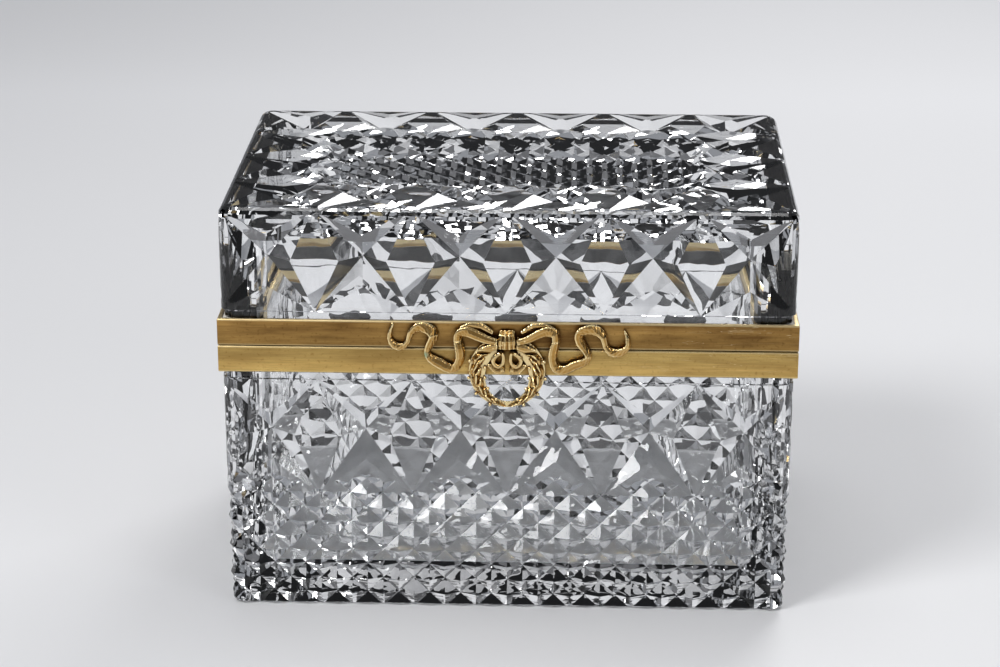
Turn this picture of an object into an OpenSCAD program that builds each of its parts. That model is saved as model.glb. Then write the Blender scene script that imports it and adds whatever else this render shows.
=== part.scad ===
/* [Box] */
// Width over the brass bands
box_w = 180; // [160:1:220]
// Depth over the brass bands
box_d = 120; // [108:1:150]
// Height of the base glass below the lower band
base_h = 80; // [70:1:110]
// Height of the lid glass above the upper band
lid_h = 35.6; // [32:0.1:50]

/* [Glass] */
// How far the glass lies inside the face of the bands
glass_set = 0.8; // [0.5:0.1:1.5]
// Wall of the base glass
base_wall = 9; // [8:0.5:12]
// Floor of the base glass
base_floor = 12; // [10:0.5:18]
// Wall of the lid glass
lid_wall = 8.2; // [7.5:0.1:10]
// Glass over the hollow of the lid
lid_top = 11; // [9:0.5:15]
// Radius of the upright outer corners
corner_r = 4.8; // [3:0.1:7]
// Radius of the upright corners inside
inner_r = 6; // [3:0.5:9]
// Radius of the upper edges of the lid
lid_edge_r = 3.3; // [2:0.1:4.5]
// Radius of the lower edges of the base
foot_edge_r = 2.4; // [1.5:0.1:3]
// Plain strip of the base under its band
base_strip = 2.6; // [1.5:0.1:5]
// Plain strip of the lid over its band
lid_strip = 2.4; // [1.5:0.1:5]

/* [Cutting] */
// Wanted width of one star
star_pitch = 29.7; // [24:0.1:36]
// Depth of a star at its middle
star_depth = 3; // [2:0.1:4]
// Middle of a lid star below the upper edge
lid_star_drop = 15.6; // [13:0.1:18]
// Middle of a base star below the plain strip
base_star_drop = 17.3; // [14:0.1:20]
// Lower arms of a base star below its middle
base_star_foot = 21.2; // [18:0.1:25]
// Middle of a top star from the edge of the lid
top_star_inset = 18.2; // [15:0.1:20]
// Fine diamonds across the width of one star
fine_per_star = 3; // [2:1:4]
// Depth of the fine grooves
fine_depth = 2; // [1:0.1:2.5]
// Flat left between two fine grooves
fine_flat = 0.25; // [0.15:0.05:0.6]

/* [Bands] */
// Height of each band
band_h = 8.6; // [8:0.1:12]
// Thickness of the upright skirt of a band
skirt_t = 1.4; // [1:0.1:2]
// Thickness of the flat flange of a band
flange_t = 1.4; // [1:0.1:2]
// Thickness of the plaster between glass and brass
bed_t = 0.5; // [0.4:0.1:1]
// Seam between the two bands of the closed box
seam_gap = 0.2; // [0.1:0.05:0.5]
// Worn bevel along the edges of the bands
band_bevel = 0.3; // [0.1:0.05:0.6]
// Height of the lip that the lid closes over
lip_h = 2.6; // [1.5:0.1:5]
// Thickness of the lip
lip_t = 1.2; // [0.8:0.1:1.6]
// Clearance between the lip and the upper band
lip_gap = 0.5; // [0.4:0.1:1]

/* [Hinge] */
// Angle at which the leaves stop the lid
open_angle = 100; // [90:1:110]
// Width of a hinge leaf
leaf_w = 60; // [56:1:80]
// Height of a hinge leaf
leaf_h = 7.4; // [6.8:0.1:7.8]
// Thickness of a hinge leaf
leaf_t = 1; // [0.8:0.1:1.4]
// Length of the hinge barrel
barrel_l = 50; // [40:1:52]
// Radius of the hinge barrel
barrel_r = 2; // [1.8:0.1:2.4]
// Radius of the hinge pin
pin_r = 1; // [0.8:0.05:1.2]
// Running clearance of the pin in its knuckles
pin_fit = 0.05; // [0.02:0.01:0.08]
// Knuckles along the barrel
knuckles = 5; // [3:2:7]
// Clearance round the barrel and between knuckles
barrel_gap = 0.3; // [0.2:0.05:0.4]
// Rivets in one leaf
leaf_rivets = 4; // [2:1:6]
// Radius of a rivet
rivet_r = 0.7; // [0.5:0.05:0.9]

/* [Ornament] */
// Outer radius of the laurel wreath
wreath_r = 12.3; // [11:0.1:13]
// Middle of the wreath below the seam
wreath_drop = 6.9; // [6:0.1:8]
// Pairs of leaves down each side of the wreath
leaf_tiers = 6; // [5:1:8]
// Width of the knot
knot_w = 6; // [5:0.1:7]
// Height of the knot
knot_h = 7; // [6:0.1:8]
// How far the knot stands out
knot_out = 3.9; // [3:0.1:5]
// Thickness of the ribbon
ribbon_t = 1; // [0.7:0.1:1.2]
// Least gap between the ornament and the bands
stand_off = 0.45; // [0.4:0.05:0.8]
// Radius of the pegs that hold the ornament
peg_r = 0.8; // [0.6:0.05:1]

/* [Hidden] */
$fn = 48;

// Levels, from the table upwards
base_band_top = base_h + band_h;
seam_z = base_band_top + seam_gap / 2;
lid_band_z = base_band_top + seam_gap;
lid_band_top = lid_band_z + band_h;
top_z = lid_band_top + lid_h;
base_strip_z = base_h - base_strip;
lid_strip_z = lid_band_top + lid_strip;

// Plan sizes
glass_w = box_w - 2 * glass_set;
glass_d = box_d - 2 * glass_set;
skirt_in_w = box_w - 2 * skirt_t;
skirt_in_d = box_d - 2 * skirt_t;
neck_w = skirt_in_w - 2 * bed_t;
neck_d = skirt_in_d - 2 * bed_t;
neck_r = max(0.5, corner_r - (glass_w - neck_w) / 2);
cavity_w = glass_w - 2 * base_wall;
cavity_d = glass_d - 2 * base_wall;
hollow_w = glass_w - 2 * lid_wall;
hollow_d = glass_d - 2 * lid_wall;

// The lower flange reaches a little past the glass, and the lip stands on its edge
flange_over = 1;
lip_in_w = cavity_w - 2 * flange_over;
lip_in_d = cavity_d - 2 * flange_over;
lip_in_r = inner_r - flange_over;
lip_out_w = lip_in_w + 2 * lip_t;
lip_out_d = lip_in_d + 2 * lip_t;
lip_out_r = lip_in_r + lip_t;
mouth_w = lip_out_w + 2 * lip_gap;
mouth_d = lip_out_d + 2 * lip_gap;
mouth_r = lip_out_r + lip_gap;

// Stars are spread evenly, so that their arms end at the corners of each face
stars_x = max(3, round(glass_w / star_pitch));
stars_y = max(3, round(glass_d / star_pitch));
tile_x = glass_w / stars_x;
tile_y = glass_d / stars_y;
pit_over = 0.5;
arm_over = 0.15;
groove_rise = 0.8;
fine_step = 0.03;

// Half a diamond of the fine field, on each axis
half_x = tile_x / fine_per_star / 2;
half_y = tile_y / fine_per_star / 2;
half_z = star_pitch / fine_per_star / 2;
fine_z = base_strip_z - base_star_drop - base_star_foot;

// Waist of each star: upper, lower and side points of its inner corners
lid_waist = [7.4, 9.4, 7.4, 1.1];
base_waist = [6.1, 9.4, 7.4, 1.4];
top_waist = [7.2, 5.6, 7.4, 0];

// Parts of the hinge
stop_clearance = 1;
bevel_angle = (open_angle + stop_clearance) / 2;
knuckle_l = barrel_l / knuckles;
rivet_level = leaf_h * 0.68;
rivet_span = leaf_w - 12;
rivet_fit = 0.02;
head_r = 1.3;
head_t = 0.6;

// Middle of the knot, the ornament's fixing pegs and the plane between the bodies
knot_z = 3.1;
peg_x = 14.8;
peg_z = 4.2;
half_gap = 0.03;
ring_t = 1;
wreath_hole = wreath_r * 0.62;
ribbon_turn = 36;
berry_r = 0.62;

// Ribbons: across, above the seam, out from the bands, width
loop_left = [
    [-3.3, 3.1, 2.5, 2.0], [-6.5, 4.0, 2.6, 2.8], [-9.5, 5.3, 2.5, 3.4],
    [-12.5, 6.3, 2.3, 3.4], [-15.0, 5.4, 2.0, 3.0], [-15.2, 3.0, 1.8, 3.2]
];
back_left = [[-14.2, 7.2, 1.5, 1.2], [-11.5, 8.3, 1.5, 1.8], [-8.0, 8.1, 1.5, 2.0], [-4.6, 5.9, 1.5, 1.4]];
run_left = [
    [-15.2, 3.0, 1.8, 3.2], [-14.6, 0.6, 1.6, 3.7], [-14.4, -2.3, 1.5, 3.7],
    [-15.5, -5.2, 1.6, 3.4], [-17.4, -6.2, 1.9, 3.2], [-20.5, -4.6, 1.7, 3.6],
    [-23.6, -2.9, 1.4, 3.0], [-24.8, -0.6, 1.3, 2.2], [-23.6, 2.2, 1.6, 3.4],
    [-22.6, 4.8, 1.9, 3.8], [-24.2, 6.9, 2.0, 3.6], [-27.2, 7.4, 1.7, 3.4],
    [-29.6, 5.6, 1.4, 2.6], [-30.6, 2.8, 1.2, 1.8], [-32.4, 0.8, 1.3, 2.4],
    [-34.8, 1.2, 1.4, 2.4], [-36.4, 3.6, 1.3, 1.6], [-36.0, 6.4, 1.1, 1.2], [-35.4, 8.3, 1.0, 0.5]
];
loop_right = [
    [3.3, 3.1, 2.5, 2.0], [6.5, 4.0, 2.6, 2.8], [9.5, 5.6, 2.5, 3.4],
    [12.4, 6.6, 2.3, 3.6], [14.9, 5.8, 2.0, 3.2], [15.2, 3.0, 1.8, 3.2]
];
back_right = [[14.0, 7.4, 1.5, 1.2], [11.3, 8.4, 1.5, 1.8], [8.0, 8.1, 1.5, 2.0], [4.6, 5.9, 1.5, 1.4]];
run_right = [
    [15.2, 3.0, 1.8, 3.2], [14.4, 0.2, 1.6, 3.6], [14.2, -2.8, 1.5, 3.4],
    [15.4, -5.6, 1.6, 3.4], [17.8, -6.2, 1.8, 3.4], [20.6, -4.8, 1.7, 3.4],
    [23.4, -3.8, 1.4, 3.2], [25.2, -1.8, 1.3, 2.6], [24.2, 0.6, 1.5, 2.8],
    [22.6, 3.2, 1.8, 3.6], [22.2, 5.8, 2.0, 3.6], [24.6, 7.2, 1.9, 3.4],
    [27.8, 6.9, 1.7, 3.4], [29.8, 4.7, 1.4, 2.6], [30.4, 1.9, 1.2, 2.0],
    [32.2, -0.2, 1.3, 2.8], [34.8, -0.4, 1.4, 3.0], [37.0, 1.4, 1.4, 2.2],
    [37.2, 4.0, 1.2, 1.6], [36.2, 6.6, 1.0, 0.5]
];
drop_loop = [
    [-2.3, -0.9, 2.0, 1.3], [-4.0, -2.4, 2.0, 1.4], [-4.1, -4.0, 2.0, 1.4],
    [-2.7, -5.2, 1.9, 1.3], [-1.3, -4.1, 2.0, 1.2], [-1.1, -2.4, 2.0, 1.1], [-1.3, -0.9, 2.0, 1.0]
];
drop_tail = [
    [-1.9, -5.0, 1.6, 1.1], [-1.4, -6.6, 1.7, 2.0], [-3.0, -6.6, 1.8, 2.3],
    [-4.6, -5.4, 1.7, 2.0], [-5.7, -4.9, 1.5, 1.0]
];

// Leaf-shaped ends of the ribbon beside the knot, on the left
pod = [[-2.4, 1.8, 2.5, 1.4], [-5.4, 1.1, 2.6, 2.6], [-8.6, 0.5, 2.3, 0.6]];

// Catmull-Rom curve through a list of points
function blend(a, b, c, d, t) =
    (2 * b + (c - a) * t + (2 * a - 5 * b + 4 * c - d) * t * t + (3 * b - a - 3 * c + d) * t * t * t) / 2;
function at(list, i) = list[max(0, min(len(list) - 1, i))];
function curve(list, steps) = [
    for (i = [0 : len(list) - 2], j = [0 : steps - (i == len(list) - 2 ? 0 : 1)])
        blend(at(list, i - 1), list[i], list[i + 1], at(list, i + 2), j / steps)
];

// Half the distance between opposite faces: front and back, or the two ends
function face_reach(k) = (k % 2 == 0 ? glass_d : glass_w) / 2;
function face_stars(k) = k % 2 == 0 ? stars_x : stars_y;
function face_tile(k) = k % 2 == 0 ? tile_x : tile_y;
function face_half(k) = k % 2 == 0 ? half_x : half_y;

// How far a fine groove runs past the ends of the star arms, by its place under the star
function groove_tip(c, peak) =
    let (m = ((c % (2 * fine_per_star)) + 2 * fine_per_star) % (2 * fine_per_star))
    m == 0 ? 0.4 : min(m, 2 * fine_per_star - m) * peak / fine_per_star + (m < fine_per_star ? 0.4 : 0);

// Frame on side face k, 0 is the front: x along the face, y up, z into the glass
module on_face(k) {
    rotate([0, 0, 90 * k]) translate([0, -face_reach(k), 0]) rotate([90, 0, 180]) children();
}

module corners(w, d, r) {
    for (x = [-1, 1], y = [-1, 1])
        translate([x * (w / 2 - r), y * (d / 2 - r), 0]) children();
}

// Upright block with rounded corners
module slab(w, d, r, z0, z1) {
    translate([0, 0, z0]) linear_extrude(z1 - z0) rounded(w, d, r);
}

module rounded(w, d, r) {
    hull() corners(w, d, r) circle(r, $fn = 32);
}

// Rim of rounding radius e on a corner of radius r
module soft_rim(r, e) {
    rotate_extrude($fn = 24) intersection() {
        translate([r - e, 0]) circle(e, $fn = 16);
        translate([0, -e]) square([r, 2 * e]);
    }
}

// One star: a pit with eight facets, its four arms ending just past the corners of its tile
module star_pit(left, right, up, down, waist) {
    big = 1 + pit_over;
    l = left + arm_over;
    r = right + arm_over;
    u = up + arm_over;
    d = down + arm_over;
    outline = [
        [-l, u], [0, waist[0]], [r, u], [waist[2], -waist[3]],
        [r, -d], [0, -waist[1]], [-l, -d], [-waist[2], -waist[3]]
    ];
    translate([0, 0, -pit_over * star_depth])
        linear_extrude(height = big * star_depth, scale = 0) polygon(big * outline);
}

// Row of stars along side face k with their middles at level z
module star_row(k, z, up, down, waist) {
    tile = face_tile(k);
    on_face(k)
        for (i = [0 : face_stars(k) - 1])
            translate([(i - (face_stars(k) - 1) / 2) * tile, z, 0])
                star_pit(tile / 2, tile / 2, up, down, waist);
}

// Fine groove from a to b, rising out of the glass over the length run_a before a and run_b after b
module groove(a, b, run_a, run_b, half, depth) {
    dir = b - a;
    section = [[-2 * half, -depth], [2 * half, -depth], [0, depth]];
    translate([a[0], a[1], 0]) rotate([90, 0, atan2(dir[1], dir[0]) + 90])
        hull() {
            linear_extrude(norm(dir)) polygon(section);
            translate([0, 0, norm(dir)]) linear_extrude(run_b, scale = 0) polygon(section);
            if (run_a > 0)
                mirror([0, 0, 1]) linear_extrude(run_a, scale = 0) polygon(section);
        }
}

// Fine diamonds of a side face, from the lower arms of its stars down past the foot
module fine_face(k) {
    hx = face_half(k);
    reach = 2 * face_stars(k) * fine_per_star / 2;
    rows = ceil(fine_z / half_z) + 1;
    step = norm([hx, half_z]);
    half = (2 * hx * half_z / step - fine_flat) / 2;
    on_face(k)
        for (s = [-1, 1], c = [-reach : 2 : reach + 2 * rows]) {
            full = groove_tip(c + reach, 1.5) - groove_rise;
            groove(
                [s * (c - rows) * hx, fine_z - rows * half_z],
                [s * (c + full) * hx, fine_z + full * half_z],
                0, groove_rise * step, half, fine_depth - (s + 1) * fine_step
            );
        }
}

// Fine diamonds of the lid top, inside its border of stars
module fine_top() {
    nx = (stars_x - 2) * fine_per_star;
    ny = (stars_y - 2) * fine_per_star;
    step = norm([half_x, half_y]);
    half = (2 * half_x * half_y / step - fine_flat) / 2;
    translate([0, 0, top_z]) rotate([180, 0, 0])
        for (s = [-1, 1], c = [-nx - ny : 2 : nx + ny]) {
            low = max(-ny, -nx - c);
            high = min(ny, nx - c);
            a = low - groove_tip((low == -ny ? c + low + nx : low + ny), 0.8) + groove_rise;
            b = high + groove_tip((high == ny ? c + high + nx : high + ny), 0.8) - groove_rise;
            if (high - low > 1.5)
                groove(
                    [s * (c + a) * half_x, a * half_y], [s * (c + b) * half_x, b * half_y],
                    groove_rise * step, groove_rise * step, half, fine_depth - (s + 1) * fine_step
                );
        }
}

// Border of stars round the lid top; the corner stars are shared by two sides
module top_stars() {
    for (k = [0 : 3]) {
        tile = face_tile(k);
        n = face_stars(k);
        side = face_tile(k + 1);
        rotate([0, 0, 90 * k]) {
            for (i = [1 : n - 2])
                translate([(i - (n - 1) / 2) * tile, top_star_inset - face_reach(k), top_z])
                    rotate([180, 0, 0])
                        star_pit(tile / 2, tile / 2, top_star_inset, side - top_star_inset, top_waist);
            translate([top_star_inset - face_reach(k + 1), top_star_inset - face_reach(k), top_z])
                rotate([180, 0, 0])
                    star_pit(top_star_inset, tile - top_star_inset, top_star_inset,
                        side - top_star_inset, top_waist);
        }
    }
}

module base_glass() {
    color([0.86, 0.88, 0.9, 0.6]) difference() {
        union() {
            hull() {
                corners(glass_w, glass_d, corner_r)
                    translate([0, 0, foot_edge_r]) {
                        soft_rim(corner_r, foot_edge_r);
                        cylinder(r = corner_r, h = base_strip_z - foot_edge_r, $fn = 24);
                    }
            }
            slab(neck_w, neck_d, neck_r, base_strip_z - 1, base_band_top - flange_t - bed_t);
        }
        slab(cavity_w, cavity_d, inner_r, base_floor, top_z);
        for (k = [0 : 3]) {
            star_row(k, base_strip_z - base_star_drop, base_star_drop, base_star_foot, base_waist);
            fine_face(k);
        }
    }
}

module lid_glass() {
    color([0.86, 0.88, 0.9, 0.6]) difference() {
        union() {
            hull() {
                corners(glass_w, glass_d, corner_r) {
                    translate([0, 0, lid_strip_z]) cylinder(r = corner_r, h = 1, $fn = 24);
                    translate([0, 0, top_z - lid_edge_r]) soft_rim(corner_r, lid_edge_r);
                }
            }
            slab(neck_w, neck_d, neck_r, lid_band_z + flange_t + bed_t, lid_strip_z + 1);
        }
        slab(hollow_w, hollow_d, inner_r, base_h, top_z - lid_top);
        for (k = [0 : 3])
            star_row(k, top_z - lid_star_drop, lid_star_drop, lid_h - lid_strip - lid_star_drop, lid_waist);
        top_stars();
        fine_top();
    }
}

// Plaster bed between a glass rim and its band, over the height z0 to z1
module bedding(z0, z1, rim_z0, rim_z1, open_w, open_d) {
    difference() {
        translate([-skirt_in_w / 2, -skirt_in_d / 2, z0]) cube([skirt_in_w, skirt_in_d, z1 - z0]);
        slab(neck_w, neck_d, neck_r, rim_z0, rim_z1);
        slab(open_w, open_d, inner_r, z0 - 1, z1 + 1);
        hinge_notch();
    }
}

module base_bedding() {
    color([0.8, 0.77, 0.7])
        bedding(base_h + band_bevel, base_band_top - flange_t, base_h - 1,
            base_band_top - flange_t - bed_t, cavity_w, cavity_d);
}

module lid_bedding() {
    color([0.8, 0.77, 0.7])
        bedding(lid_band_z + flange_t, lid_band_top - band_bevel, lid_band_z + flange_t + bed_t,
            lid_band_top + 1, hollow_w, hollow_d);
}

// Room for the hinge barrel in the back of both bands
module hinge_notch() {
    translate([-barrel_l / 2 - barrel_gap, box_d / 2, seam_z]) rotate([0, 90, 0])
        cylinder(r = barrel_r + barrel_gap, h = barrel_l + 2 * barrel_gap);
}

// Square outer block of a band with worn edges
module band_block(z0) {
    b = band_bevel;
    hull() {
        translate([-box_w / 2, -box_d / 2, z0 + b]) cube([box_w, box_d, band_h - 2 * b]);
        translate([b - box_w / 2, b - box_d / 2, z0]) cube([box_w - 2 * b, box_d - 2 * b, band_h]);
    }
}

module skirt_room(z0, z1) {
    translate([-skirt_in_w / 2, -skirt_in_d / 2, z0]) cube([skirt_in_w, skirt_in_d, z1 - z0]);
}

module rivet_places(side) {
    for (i = [0 : leaf_rivets - 1])
        translate([(i / (leaf_rivets - 1) - 0.5) * rivet_span, box_d / 2, seam_z + side * rivet_level])
            rotate([-90, 0, 0]) children();
}

module base_band() {
    color([0.83, 0.64, 0.3]) difference() {
        band_block(base_h);
        skirt_room(base_h - 1, base_band_top - flange_t);
        slab(lip_in_w, lip_in_d, lip_in_r, base_h, base_band_top + 1);
        hinge_notch();
        rivet_places(-1) cylinder(r = rivet_r + rivet_fit, h = 4 * skirt_t, center = true);
    }
}

module lid_band() {
    color([0.74, 0.55, 0.27]) difference() {
        band_block(lid_band_z);
        skirt_room(lid_band_z + flange_t, lid_band_top + 1);
        slab(mouth_w, mouth_d, mouth_r, lid_band_z - 1, lid_band_top);
        hinge_notch();
        rivet_places(1) cylinder(r = rivet_r + rivet_fit, h = 4 * skirt_t, center = true);
        peg_places() cylinder(r = peg_r + rivet_fit, h = 4 * skirt_t, center = true);
    }
}

module base_lip() {
    color([0.83, 0.64, 0.3]) difference() {
        slab(lip_out_w, lip_out_d, lip_out_r, base_band_top, base_band_top + lip_h);
        slab(lip_in_w, lip_in_d, lip_in_r, base_band_top - 1, base_band_top + lip_h + 1);
    }
}

// Leaf of the hinge: side is 1 for the lid and -1 for the base, own tells which knuckles it has
module hinge_leaf(side, own) {
    difference() {
        union() {
            difference() {
                translate([-leaf_w / 2, box_d / 2, seam_z]) rotate([90, 0, 90])
                    linear_extrude(leaf_w)
                        polygon([
                            [0, side * seam_gap / 2], [0, side * leaf_h],
                            [leaf_t, side * leaf_h],
                            [leaf_t, side * leaf_t * tan(bevel_angle)],
                            [seam_gap / 2 / tan(bevel_angle), side * seam_gap / 2]
                        ]);
                hinge_notch();
            }
            for (i = [own : 2 : knuckles - 1])
                translate([-barrel_l / 2 + i * knuckle_l + barrel_gap / 2, box_d / 2, seam_z]) {
                    rotate([0, 90, 0]) cylinder(r = barrel_r, h = knuckle_l - barrel_gap);
                    translate([0, 0, side > 0 ? 0 : -barrel_r - barrel_gap - 1])
                        cube([knuckle_l - barrel_gap, leaf_t, barrel_r + barrel_gap + 1]);
                }
        }
        translate([-leaf_w, box_d / 2, seam_z]) rotate([0, 90, 0])
            cylinder(r = pin_r + pin_fit, h = 2 * leaf_w);
        rivet_places(side) cylinder(r = rivet_r + rivet_fit, h = 4 * leaf_t, center = true);
    }
}

module rivets(side) {
    rivet_places(side) {
        translate([0, 0, -skirt_t]) cylinder(r = rivet_r, h = skirt_t + leaf_t + 0.1);
        translate([0, 0, leaf_t]) rotate_extrude()
            polygon([
                [0, 0], [head_r, 0], [head_r, head_t * 0.3],
                [head_r * 0.7, head_t * 0.85], [0, head_t]
            ]);
    }
}

module hinge_base_leaf() {
    color([0.8, 0.62, 0.3]) hinge_leaf(-1, 0);
}

module hinge_lid_leaf() {
    color([0.76, 0.58, 0.28]) hinge_leaf(1, 1);
}

module hinge_base_rivets() {
    color([0.86, 0.7, 0.38]) rivets(-1);
}

module hinge_lid_rivets() {
    color([0.86, 0.7, 0.38]) rivets(1);
}

module hinge_pin() {
    color([0.7, 0.66, 0.55]) translate([-barrel_l / 2, box_d / 2, seam_z]) rotate([0, 90, 0])
        cylinder(r = pin_r, h = barrel_l);
}

// Frame of the ornament: x across, z up from the seam, -y out from the bands
module on_front() {
    translate([0, -box_d / 2, seam_z]) children();
}

module peg_places() {
    on_front()
        for (p = [[-peg_x, peg_z], [0, knot_z], [peg_x, peg_z]])
            translate([p[0], 0, p[1]]) rotate([90, 0, 0]) children();
}

// One cross-section of a ribbon
module ribbon_end(p, angle) {
    turn = ribbon_turn * sin(angle);
    out = max(p[2], stand_off + ribbon_t / 2 + abs(sin(turn)) * p[3] / 2);
    translate([p[0], -out, p[1]]) rotate([0, -angle, 0]) rotate([turn, 0, 0]) rotate([0, 90, 0])
        scale([p[3] / 2, ribbon_t / 2, 0.3]) sphere(r = 1, $fn = 7);
}

module ribbon(list, steps) {
    c = curve(list, steps);
    for (i = [0 : len(c) - 2]) {
        a = c[i];
        b = c[i + 1];
        e = at(c, i + 2);
        back = at(c, i - 1);
        hull() {
            ribbon_end(a, atan2(b[1] - back[1], b[0] - back[0]));
            ribbon_end(b, atan2(e[1] - a[1], e[0] - a[0]));
        }
    }
}

// Strand of ribbon wound over the knot: x, tilt, width, how far out
module strand(x, tilt, w, out) {
    translate([x, 0, knot_z]) rotate([0, tilt, 0])
        for (s = [-1, 1])
            hull() {
                bead([0, -0.62 * out, 0], [w / 2, 0.38 * out, 1.2]);
                bead([0, -0.45 * out, s * knot_h * 0.27], [w / 2, 0.4 * out, 1]);
                bead([0, -0.3 * out, s * (knot_h / 2 - 0.5)], [w * 0.4, 0.55, 0.5]);
            }
}

module bead(p, size) {
    translate(p) scale(size) sphere(r = 1, $fn = 8);
}

// Room that the knot takes between the ribbons
module knot_room() {
    on_front() translate([-knot_w / 2 - half_gap, -2 * knot_out, knot_z - knot_h / 2 - half_gap])
        cube([knot_w + 2 * half_gap, 2 * knot_out, knot_h + 2 * half_gap]);
}

// Room for the leaf-shaped ends over the top of the wreath
module pod_room() {
    on_front() translate([-0.8 * wreath_r, -stand_off - ring_t - 0.15 - 2 * knot_out, -1])
        cube([1.6 * wreath_r, 2 * knot_out, knot_h]);
}

module bow_knot() {
    w = knot_w * 0.36;
    color([0.85, 0.66, 0.32]) on_front() {
        strand(-knot_w * 0.31, 4, w, knot_out * 0.86);
        strand(-knot_w * 0.11, 2, w, knot_out);
        strand(knot_w * 0.12, -2, w, knot_out * 0.96);
        strand(knot_w * 0.3, -5, w, knot_out * 0.84);
        translate([0, -stand_off - 0.75, knot_z]) cube([knot_w * 0.8, 1.5, knot_h * 0.66], center = true);
    }
}

// Room under the end of a loop, where its tail goes on
module loop_end_room(end) {
    on_front() translate([end[0] - end[3], -2 * knot_out, end[1] + half_gap - knot_h])
        cube([2 * end[3], 2 * knot_out, knot_h]);
}

module bow(loop, back, side) {
    difference() {
        on_front() {
            ribbon(loop, 3);
            ribbon(back, 1);
            ribbon([for (p = pod) [side * p[0], p[1], p[2], p[3]]], 2);
        }
        loop_end_room(loop[len(loop) - 1]);
        knot_room();
    }
}

module bow_left() {
    color([0.8, 0.6, 0.28]) bow(loop_left, back_left, 1);
}

module bow_right() {
    color([0.8, 0.6, 0.28]) bow(loop_right, back_right, -1);
}

// The tail goes on where the loop ends, a hair below it
module tail(run) {
    difference() {
        on_front() ribbon(run, 2);
        on_front() translate([-1.4 * wreath_r, -2 * knot_out, run[0][1] - half_gap])
            cube([2.8 * wreath_r, 2 * knot_out, 3]);
    }
}

module tail_left() {
    color([0.8, 0.6, 0.28]) tail(run_left);
}

module tail_right() {
    color([0.8, 0.6, 0.28]) tail(run_right);
}

module pendant() {
    difference() {
        on_front() {
            ribbon(drop_loop, 2);
            ribbon(drop_tail, 2);
        }
        knot_room();
        translate([-half_gap, -box_d, 0]) cube([2 * wreath_r, box_d, top_z]);
    }
}

module pendant_left() {
    color([0.84, 0.64, 0.3]) pendant();
}

module pendant_right() {
    color([0.84, 0.64, 0.3]) mirror([1, 0, 0]) pendant();
}

// Breadth of the wreath at an angle from its lowest point
function wreath_band(a) = 2 + 3.6 * pow(sin(min(a, 100)), 1.3);
function wreath_mid(a) = wreath_r - wreath_band(a) / 2;
function ring_point(a, r) = [-r * sin(a), -r * cos(a)];

// Ring that the leaves lie on: a round hole set high in a round plate
module wreath_ring() {
    color([0.78, 0.58, 0.27]) on_front() translate([0, -stand_off, -wreath_drop]) rotate([90, 0, 0])
        difference() {
            cylinder(r = wreath_r - 0.5, h = ring_t);
            translate([0, wreath_hole * 1.1 - wreath_r + 2.1, -1]) scale([0.9, 1.1, 1])
                cylinder(r = wreath_hole, h = ring_t + 2);
            translate([-knot_w / 2 - ring_t / 4, wreath_drop + knot_z - knot_h / 2 - half_gap, -1])
                cube([knot_w + ring_t / 2, knot_h + 2 * half_gap, ring_t + 2]);
        }
}

// Pointed leaf with a ridge down its middle, lying along +x and standing up h
module laurel_leaf(l, w, h) {
    translate([l * 0.4, 0, 0]) hull() linear_extrude(h, scale = [0.5, 0.14])
        polygon([
            [-0.4 * l, 0.16 * w], [0.05 * l, 0.5 * w], [0.6 * l, 0.03],
            [0.6 * l, -0.03], [0.05 * l, -0.5 * w], [-0.4 * l, -0.16 * w]
        ]);
}

// Row of leaves down one side of the wreath; side is -1 outside, 0 middle, 1 inside
module leaf_row(side) {
    for (i = [0 : leaf_tiers - 1]) {
        a = 148 - (i + (side == 0 ? 0.45 : side * 0.06)) * 138 / leaf_tiers;
        band = wreath_band(a);
        p = ring_point(a, wreath_mid(a) - side * band * 0.24);
        width = band * (side == 0 ? 0.46 : 0.54);
        height = side == 0 ? 1.5 : 1 + side * 0.06;
        translate([p[0], -stand_off - ring_t - half_gap, p[1]])
            rotate([90, a + side * 19, 0]) laurel_leaf(3 + band * 0.5, width, height);
    }
}

// Berries between the leaves, along both edges of the wreath
module berry_row(side) {
    for (i = [0 : 3]) {
        a = 104 - i * 27 - side * 3;
        p = ring_point(a, wreath_mid(a) - side * (wreath_band(a) / 2 - 0.25));
        translate([p[0], -stand_off - ring_t - half_gap - berry_r * 0.75, p[1]])
            sphere(r = berry_r, $fn = 7);
    }
}

module laurel_half() {
    difference() {
        on_front() translate([0, 0, -wreath_drop]) intersection() {
            union() {
                for (side = [-1, 1, 0])
                    leaf_row(side);
                berry_row(-1);
                berry_row(1);
            }
            translate([-2 * wreath_r, -2 * wreath_r - stand_off - ring_t - half_gap, -2 * wreath_r])
                cube([4 * wreath_r, 2 * wreath_r, 4 * wreath_r]);
        }
        knot_room();
        pod_room();
        translate([-half_gap, -box_d, 0]) cube([2 * wreath_r, box_d, top_z]);
    }
}

module laurel_left() {
    color([0.88, 0.68, 0.32]) laurel_half();
}

module laurel_right() {
    color([0.88, 0.68, 0.32]) mirror([1, 0, 0]) laurel_half();
}

module ornament_pegs() {
    color([0.7, 0.54, 0.28]) peg_places()
        translate([0, 0, -skirt_t]) cylinder(r = peg_r, h = skirt_t + stand_off - half_gap);
}

base_glass();
base_bedding();
base_band();
base_lip();
hinge_base_leaf();
hinge_base_rivets();
hinge_pin();
lid_glass();
lid_bedding();
lid_band();
hinge_lid_leaf();
hinge_lid_rivets();
bow_knot();
bow_left();
bow_right();
tail_left();
tail_right();
pendant_left();
pendant_right();
wreath_ring();
laurel_left();
laurel_right();
ornament_pegs();
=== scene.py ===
"""Looks of the cut glass casket: glass, brass rims, cast ornament, floor, light and camera."""

import math

import bpy
from mathutils import Matrix, Vector

MM = 0.001

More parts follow.
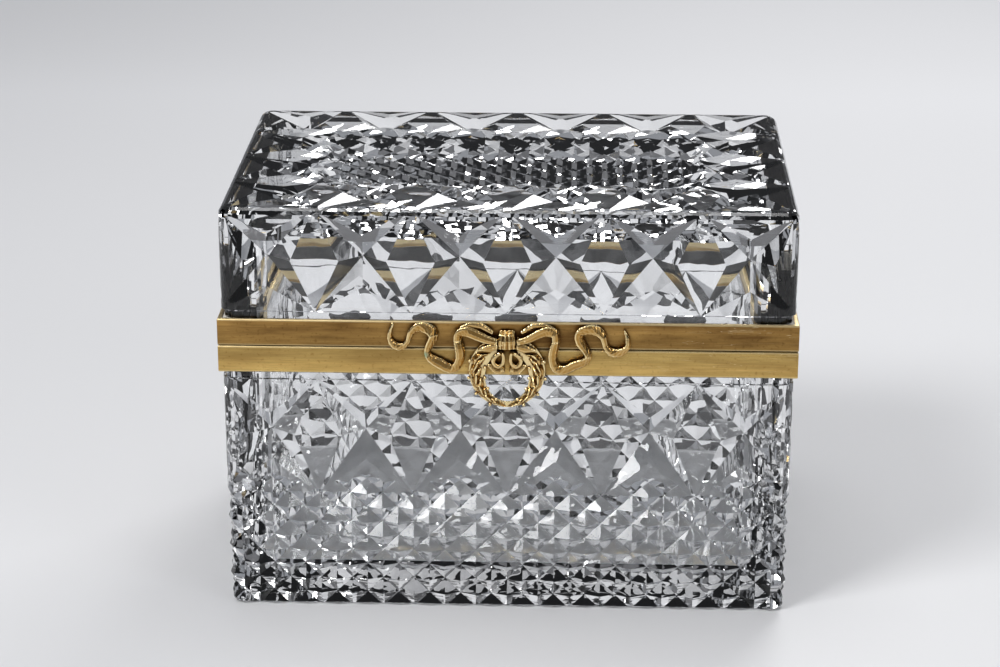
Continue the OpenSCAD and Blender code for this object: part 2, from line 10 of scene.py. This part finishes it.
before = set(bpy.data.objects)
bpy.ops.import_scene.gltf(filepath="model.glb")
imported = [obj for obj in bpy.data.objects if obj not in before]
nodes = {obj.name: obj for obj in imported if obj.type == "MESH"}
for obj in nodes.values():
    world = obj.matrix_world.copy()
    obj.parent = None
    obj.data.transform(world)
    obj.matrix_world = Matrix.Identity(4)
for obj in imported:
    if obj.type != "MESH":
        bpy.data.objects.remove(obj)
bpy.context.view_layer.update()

# Pieces, by material
GLASS = ["base_glass", "lid_glass"]
LOWER_RIM = ["base_band", "base_lip"]
UPPER_RIM = ["lid_band"]
HINGE = ["hinge_base_leaf", "hinge_base_rivets", "hinge_pin", "hinge_lid_leaf", "hinge_lid_rivets"]
PLASTER = ["base_bedding", "lid_bedding"]
RIBBONS = ["bow_left", "bow_right", "tail_left", "tail_right", "pendant_left", "pendant_right"]
CAST = ["bow_knot", *RIBBONS, "laurel_left", "laurel_right"]
ORNAMENT = CAST + ["wreath_ring", "ornament_pegs"]

# Colours
WHITE = (1, 1, 1)
CLEAR = (0.985, 0.99, 0.995)
PLASTER_PALE = (0.74, 0.7, 0.62)
# Painted shade in crevices and round the ornament, and patina in the ornament's hollows
SHADE_AND_PATINA = (0.13, 0.06, 0.02)
# Worn brass and painted highlight along the rims' edges
WORN_AND_HIGHLIT_BRASS = (1.0, 0.82, 0.45)
SCRATCH = (0.98, 0.8, 0.45)
VERDIGRIS = (0.16, 0.4, 0.3)
# Patina and painted shade in the ornament's hollows
HOLLOW_PATINA_AND_SHADE = (0.12, 0.05, 0.012)
GILT = (0.5, 0.28, 0.075)
# Rubbed gilt and painted highlight on the ornament's ridges
RIDGE_WEAR_AND_HIGHLIGHT = (1.0, 0.8, 0.42)
FLOOR_PALE = (0.78, 0.78, 0.79)
CARD_BLACK = (0.01, 0.01, 0.012)
CARD_GREY = (0.16, 0.16, 0.165)
SKY = (0.9, 0.93, 1.0)

# Brass of each kind; tones go from the lower to the upper edge of a rim
LOWER_BRASS = {
    "bright": (0.88, 0.6, 0.2), "dark": (0.42, 0.24, 0.07), "patina": 0.65, "roughness": 0.24,
    "rim": "base_band", "tones": [(0.0, 0.95), (0.3, 1.0), (0.62, 0.78), (1.0, 0.7)], "scratched": 0.7,
}
UPPER_BRASS = {
    "bright": (0.56, 0.33, 0.1), "dark": (0.2, 0.1, 0.03), "patina": 0.9, "roughness": 0.27,
    "rim": "lid_band", "tones": [(0.0, 0.72), (0.35, 0.82), (0.8, 1.0), (1.0, 1.0)], "scratched": 0.5,
}
HINGE_BRASS = {"bright": (0.7, 0.48, 0.19), "dark": (0.38, 0.23, 0.08), "patina": 0.5, "roughness": 0.3}

# Wear and painted highlight along both edges of a rim, by the part of its height
WORN_AND_HIGHLIT_EDGES = [(0.0, 0.8), (0.045, 0.35), (0.08, 0.0), (0.92, 0.0), (0.955, 0.35), (1.0, 0.8)]

# Stretch of the brush marks, the patina and the scratches along the three axes
BRUSH = (60, 1500, 2600)
PATINA = (28, 60, 220)
SCRATCHES = (34, 90, 420)
SCRATCHES_FROM = 30 * MM
SCRATCHES_FULL = 70 * MM
ROUGHER_PATINA = 0.12

# Reach of the painted shade round the ornament on the rims, and of the painted shade and patina inside the
# ornament
RIM_SHADE = 3.5 * MM
CAST_SHADE = 2.2 * MM

# Small green spot on the left ribbon
SPOT_AT = Vector((-25.6, -61.8, 87.2)) * MM
SPOT_RADIUS = 1.6 * MM

# Edges of the rims and of the glass, and the soft surface of the cast pieces
RIM_EDGE = 0.18 * MM
RIM_EDGE_ANGLE = 35
GLASS_EDGE = 0.2 * MM
GLASS_EDGE_ANGLE = 12
CAST_GRAIN = 0.15 * MM
RIBBON_SWELL = 0.12 * MM

# Camera, as found from the perspective of the box
CAMERA_AT = Vector((23.0, -826.6, 369.5)) * MM
CAMERA_YAW = -0.0329
CAMERA_PITCH = 0.3451
CAMERA_ROLL = 0.0012
CAMERA_LENS = 94.99
SENSOR = 36.0

# Floor: its size, and the thin layer of air between it and the glass
FLOOR_SIZE = 6
AIR = 0.3 * MM

# Cards that the camera does not see: name, size, place, turn in degrees, colour
CARDS = (
    ("card_left", (0.5, 0.6), (-0.55, -0.1, 0.32), (0, 78, 0), CARD_BLACK),
    ("card_right", (0.5, 0.6), (0.55, -0.1, 0.32), (0, -78, 0), CARD_BLACK),
    ("card_back", (0.9, 0.22), (0, 0.62, 0.24), (82, 0, 0), CARD_GREY),
)

# Dark strips on the floor, seen only through the glass: spans beyond a wall of the box (mm)
STRIP_SPANS = ((50, 80), (130, 170))
STRIP_LENGTH = 0.36
STRIP_LEVEL = 0.2 * MM

# Distance of the long and the short walls from the middle (mm)
WALLS = (60, 90)

# Area lamps: name, place, size, power
LAMPS = (
    ("key", (-0.55, -0.55, 0.95), (0.4, 0.4), 7.5),
    ("fill", (0.85, -0.75, 0.6), (0.5, 0.5), 2.0),
    ("rim", (0.35, 0.9, 0.75), (0.5, 0.3), 4.5),
    ("top", (0, 0.1, 1.2), (0.6, 0.4), 2.6),
)
LAMPS_AIM = Vector((0, 0, 0.07))
SKY_STRENGTH = 0.3


def rgba(colour):
    return (*colour, 1)


def greys(stops):
    """Stops of a colour ramp from (position, grey value) pairs."""
    return [(position, (value, value, value)) for position, value in stops]


class Nodes:
    """Short way to build a node tree: add a node, set its sockets, link outputs."""

    # Sockets of a colour Mix node: factor, first colour, second colour; and its result
    MIX_FACTOR, MIX_A, MIX_B = 0, 6, 7
    MIX_RESULT = 2

    def __init__(self, name):
        self.material = bpy.data.materials.new(name)
        self.material.use_nodes = True
        self.tree = self.material.node_tree
        self.tree.nodes.clear()
        self.output = self.tree.nodes.new("ShaderNodeOutputMaterial")

    def fill(self, socket, value):
        """Links an output to a socket, or sets the socket's own value."""
        if isinstance(value, bpy.types.NodeSocket):
            self.tree.links.new(value, socket)
        else:
            socket.default_value = value

    def add(self, kind, props=None, **sockets):
        node = self.tree.nodes.new("ShaderNode" + kind)
        for key, value in (props or {}).items():
            setattr(node, key, value)
        for key, value in sockets.items():
            self.fill(node.inputs[key.replace("_", " ")], value)
        return node

    def shader(self, **sockets):
        """Ends the tree with a Principled shader."""
        node = self.add("BsdfPrincipled", **sockets)
        self.tree.links.new(node.outputs[0], self.output.inputs["Surface"])
        return self.material

    def place(self, stretch=(1, 1, 1)):
        """Coordinates of the object in metres, stretched along the axes."""
        coords = self.add("TexCoord").outputs["Object"]
        return self.add("Mapping", Vector=coords, Scale=stretch).outputs[0]

    def along(self, axis, start, end):
        """Rises from 0 to 1 between two places (m) along an axis."""
        part = self.add("SeparateXYZ", Vector=self.place()).outputs[axis]
        return self.add("MapRange", Value=part, From_Min=start, From_Max=end).outputs[0]

    def noise(self, scale, detail, stretch=(1, 1, 1), **sockets):
        where = self.place(stretch)
        return self.add("TexNoise", Vector=where, Scale=scale, Detail=detail, **sockets).outputs["Fac"]

    def bump(self, height, strength, distance, **sockets):
        return self.add("Bump", Height=height, Strength=strength, Distance=distance, **sockets).outputs[0]

    def ramp(self, value, stops):
        """Colour by value; stops are (position, colour) pairs."""
        node = self.add("ValToRGB", Fac=value)
        elements = node.color_ramp.elements
        while len(elements) > 1:
            elements.remove(elements[-1])
        for i, (position, colour) in enumerate(stops):
            element = elements[0] if i == 0 else elements.new(position)
            element.position = position
            element.color = rgba(colour)
        return node.outputs["Color"]

    def mix(self, factor, a, b, how="MIX"):
        node = self.add("Mix", {"data_type": "RGBA", "blend_type": how})
        self.fill(node.inputs[self.MIX_FACTOR], factor)
        for index, value in ((self.MIX_A, a), (self.MIX_B, b)):
            self.fill(node.inputs[index], value if isinstance(value, bpy.types.NodeSocket) else rgba(value))
        return node.outputs[self.MIX_RESULT]

    def multiply(self, a, b, factor=1.0):
        return self.mix(factor, a, b, "MULTIPLY")

    def paint_shade(self, colour, reach):
        """Colour darkened by painted shade in the crevices that are narrower than a reach; in the ornament
        it also stands for patina.
        """
        sky = self.add("AmbientOcclusion", {"samples": 6}, Distance=reach).outputs["AO"]
        return self.multiply(colour, self.ramp(sky, [(0.3, SHADE_AND_PATINA), (0.85, WHITE)]))


def glass_material():
    """Clear lead glass with soft waves from its mould and polish."""
    m = Nodes("lead_glass")
    waves = m.noise(110.0, 1.0)
    return m.shader(
        Base_Color=rgba(CLEAR), Roughness=0.0, IOR=1.54, Transmission_Weight=1.0,
        Normal=m.bump(waves, 0.13, 0.6 * MM),
    )


def rim_wear_and_painted_light(m, colour, rim, tones, scratched):
    """Tones up the height of a rim, worn edges with a painted highlight, painted shade in the crevices round
    the ornament, and thin scratches at the right.
    """
    corners = nodes[rim].bound_box
    height = ("Z", corners[0][2], corners[6][2])
    colour = m.multiply(colour, m.ramp(m.along(*height), greys(tones)))
    # Brighter brass along both edges of the rim: wear and a painted highlight
    colour = m.mix(m.ramp(m.along(*height), greys(WORN_AND_HIGHLIT_EDGES)), colour, WORN_AND_HIGHLIT_BRASS)
    # Painted shade in the crevices and round the ornament on the rim
    colour = m.paint_shade(colour, RIM_SHADE)
    lines = m.noise(1.0, 3.0, SCRATCHES)
    thin = m.ramp(lines, greys([(0.497, 0.0), (0.5, scratched), (0.503, 0.0)]))
    right = m.along("X", SCRATCHES_FROM, SCRATCHES_FULL)
    return m.mix(m.multiply(thin, right), colour, SCRATCH)


def brass_material(name, bright, dark, patina, roughness, rim=None, tones=(), scratched=0.0):
    """Gilt brass brushed along the rims, with patina in patches."""
    m = Nodes(name)
    brush = m.noise(1.0, 4.0, BRUSH)
    cloud = m.noise(1.0, 5.0, PATINA, Roughness=0.62)
    spots = m.noise(900.0, 3.0)
    stain = m.ramp(cloud, greys([(0.36, patina), (0.66, 0.0)]))
    grain = m.ramp(brush, greys([(0.3, 0.8), (0.7, 1.0)]))
    fleck = m.ramp(spots, [(0.3, dark), (0.42, WHITE)])
    colour = m.multiply(m.mix(stain, bright, dark), grain)
    colour = m.multiply(colour, fleck, 0.35)
    if rim:
        colour = rim_wear_and_painted_light(m, colour, rim, tones, scratched)
    rough = m.add(
        "MapRange", Value=cloud, From_Min=0.3, From_Max=0.7,
        To_Min=roughness + ROUGHER_PATINA, To_Max=roughness,
    ).outputs[0]
    return m.shader(Base_Color=colour, Metallic=1.0, Roughness=rough, Normal=m.bump(brush, 0.16, 0.2 * MM))


def ornament_material():
    """Cast and chased gilt brass: bright on the ridges (rubbed gilt and a painted highlight), brown in the
    hollows (patina and painted shade), a green spot at the left.
    """
    m = Nodes("chased_gilt")
    edge = m.add("NewGeometry").outputs["Pointiness"]
    # By pointiness: ridges get rubbed gilt with a painted highlight, hollows get patina with painted shade
    wear_and_painted_light = m.ramp(edge, [(0.47, HOLLOW_PATINA_AND_SHADE), (0.5, GILT), (0.53, RIDGE_WEAR_AND_HIGHLIGHT)])
    # Painted shade in the hollows and under overlapping parts, also standing for patina
    colour = m.paint_shade(wear_and_painted_light, CAST_SHADE)
    spot = m.add("VectorMath", {"operation": "DISTANCE"})
    m.fill(spot.inputs[0], m.place())
    m.fill(spot.inputs[1], SPOT_AT)
    away = m.add("MapRange", Value=spot.outputs["Value"], From_Max=SPOT_RADIUS).outputs[0]
    colour = m.mix(m.ramp(away, greys([(0.4, 0.75), (1.0, 0.0)])), colour, VERDIGRIS)
    grain = m.noise(1400.0, 4.0)
    creases = m.add("TexWave", Vector=m.place(), Scale=330.0, Distortion=7.0, Detail=1.0).outputs["Fac"]
    folds = m.bump(creases, 0.26, 0.25 * MM)
    return m.shader(
        Base_Color=colour, Metallic=1.0, Roughness=0.19, Normal=m.bump(grain, 0.15, 0.15 * MM, Normal=folds),
    )


def plaster_material():
    m = Nodes("plaster")
    shadow = tuple(0.86 * c for c in PLASTER_PALE)
    tone = m.ramp(m.noise(700.0, 4.0), [(0.3, shadow), (0.7, PLASTER_PALE)])
    return m.shader(Base_Color=tone, Roughness=0.85)


def stage_material(name, colour, roughness):
    return Nodes(name).shader(Base_Color=rgba(colour), Roughness=roughness)


def dress(names, material):
    for name in names:
        data = nodes[name].data
        data.materials.clear()
        data.materials.append(material)


def bevel(names, width, angle):
    """Worn edges on hard metal or polished edges on glass."""
    for name in names:
        mod = nodes[name].modifiers.new("edges", "BEVEL")
        mod.width = width
        mod.segments = 2
        mod.limit_method = "ANGLE"
        mod.angle_limit = math.radians(angle)


def soften(names, voxel):
    """Turns the faceted ribbons and leaves into soft cast metal."""
    for name in names:
        obj = nodes[name]
        mod = obj.modifiers.new("cast", "REMESH")
        mod.mode = "VOXEL"
        mod.voxel_size = voxel
        mod.use_smooth_shade = True
        mod = obj.modifiers.new("soften", "SMOOTH")
        mod.factor = 0.5
        mod.iterations = 2


def swell(names, amount):
    """Gives back the thickness that smoothing takes from thin ribbons."""
    for name in names:
        mod = nodes[name].modifiers.new("swell", "DISPLACE")
        mod.strength = amount
        mod.mid_level = 0.0


def plane(name, size, at, turn, material):
    """Flat stage piece of a size (m), centred at a place and turned by Euler angles in degrees."""
    bpy.ops.mesh.primitive_plane_add(size=1, location=at, rotation=[math.radians(a) for a in turn])
    obj = bpy.context.object
    obj.name = name
    obj.scale = (*size, 1)
    obj.data.materials.append(material)
    return obj


def area_lamp(name, at, size, power):
    data = bpy.data.lights.new(name, "AREA")
    data.shape = "RECTANGLE"
    data.size, data.size_y = size
    data.energy = power
    lamp = bpy.data.objects.new(name, data)
    bpy.context.collection.objects.link(lamp)
    lamp.location = at
    lamp.rotation_euler = (LAMPS_AIM - Vector(at)).to_track_quat("-Z", "Y").to_euler()


def build_strips(material):
    """Strips along all four sides of the box, flat on the floor."""
    for side in range(4):
        for near, far in STRIP_SPANS:
            reach = (WALLS[side % 2] + (near + far) / 2) * MM
            turn = side * math.pi / 2
            at = (reach * math.sin(turn), reach * math.cos(turn), STRIP_LEVEL)
            size = (STRIP_LENGTH, (far - near) * MM)
            strip = plane("strip", size, at, (0, 0, -90 * side), material)
            strip.visible_camera = False
            strip.visible_shadow = False
            strip.visible_diffuse = False
            strip.visible_glossy = False


def build_stage():
    floor = stage_material("floor_pale", FLOOR_PALE, 0.55)
    plane("floor", (FLOOR_SIZE, FLOOR_SIZE), (0, 0, -AIR), (0, 0, 0), floor)
    paints = {
        CARD_BLACK: stage_material("card_black", CARD_BLACK, 0.9),
        CARD_GREY: stage_material("card_grey", CARD_GREY, 0.9),
    }
    for name, size, at, turn, colour in CARDS:
        card = plane(name, size, at, turn, paints[colour])
        card.visible_camera = False
        card.visible_shadow = False
    build_strips(paints[CARD_BLACK])
    for lamp in LAMPS:
        area_lamp(*lamp)
    world = bpy.data.worlds.new("studio")
    bpy.context.scene.world = world
    world.use_nodes = True
    sky = world.node_tree.nodes["Background"]
    sky.inputs["Color"].default_value = rgba(SKY)
    sky.inputs["Strength"].default_value = SKY_STRENGTH


def build_camera():
    cy, sy = math.cos(CAMERA_YAW), math.sin(CAMERA_YAW)
    cp, sp = math.cos(CAMERA_PITCH), math.sin(CAMERA_PITCH)
    cr, sr = math.cos(CAMERA_ROLL), math.sin(CAMERA_ROLL)
    forward = Vector((sy * cp, cy * cp, -sp))
    right = Vector((cy, -sy, 0))
    up = right.cross(forward)
    right, up = cr * right + sr * up, -sr * right + cr * up
    data = bpy.data.cameras.new("camera")
    data.lens = CAMERA_LENS
    data.sensor_width = SENSOR
    data.clip_start = 10 * MM
    camera = bpy.data.objects.new("camera", data)
    bpy.context.collection.objects.link(camera)
    turn = Matrix((right, up, -forward)).transposed().to_4x4()
    camera.matrix_world = Matrix.Translation(CAMERA_AT) @ turn
    bpy.context.scene.camera = camera


dress(GLASS, glass_material())
dress(LOWER_RIM, brass_material("rim_brass", **LOWER_BRASS))
dress(UPPER_RIM, brass_material("rim_brass_dark", **UPPER_BRASS))
dress(HINGE, brass_material("hinge_brass", **HINGE_BRASS))
dress(PLASTER, plaster_material())
dress(ORNAMENT, ornament_material())

bevel(LOWER_RIM + UPPER_RIM, RIM_EDGE, RIM_EDGE_ANGLE)
bevel(GLASS, GLASS_EDGE, GLASS_EDGE_ANGLE)
soften(CAST, CAST_GRAIN)
swell(RIBBONS, RIBBON_SWELL)

build_stage()
build_camera()
bpy.context.scene.view_settings.view_transform = "Standard"
